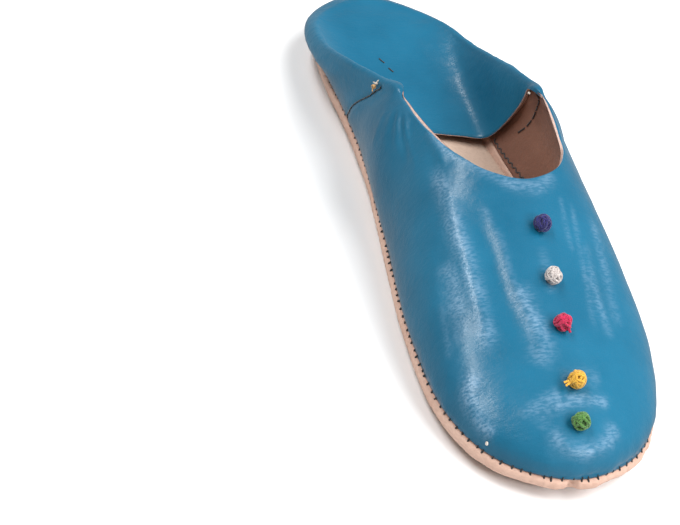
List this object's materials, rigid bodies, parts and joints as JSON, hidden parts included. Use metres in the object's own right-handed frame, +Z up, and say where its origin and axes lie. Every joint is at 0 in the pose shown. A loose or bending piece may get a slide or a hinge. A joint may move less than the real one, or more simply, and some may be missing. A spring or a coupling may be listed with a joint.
{
  "type": "babouche slipper",
  "caption": "Soft leather slip-on slipper with a trodden-down back, turned-up whip-stitched sole and knotted thread buttons down the vamp.",
  "frame": {"origin": "middle of the bottom of the slipper's box, on the floor it stands on", "axes": "toe toward -Y, back toward +Y, +Z up; the big toe's side is -X"},
  "size_m": [0.0856, 0.2606, 0.0506],
  "materials": {
    "sole_leather": "natural pinkish vegetable-tanned leather, matte",
    "upper_leather": "blue full-grain leather, glossy",
    "insole_leather": "cream-pink leather, matte",
    "thread_blue": "knotted matte thread",
    "thread_white": "knotted matte thread",
    "thread_pink": "knotted matte thread",
    "thread_yellow": "knotted matte thread",
    "thread_green": "knotted matte thread"
  },
  "bodies": {
    "root": {"outsole": "sole_leather", "upper": "upper_leather", "insole": "insole_leather", "button_blue": "thread_blue", "button_white": "thread_white", "button_pink": "thread_pink", "button_yellow": "thread_yellow", "button_green": "thread_green"}
  },
  "joints": []
}
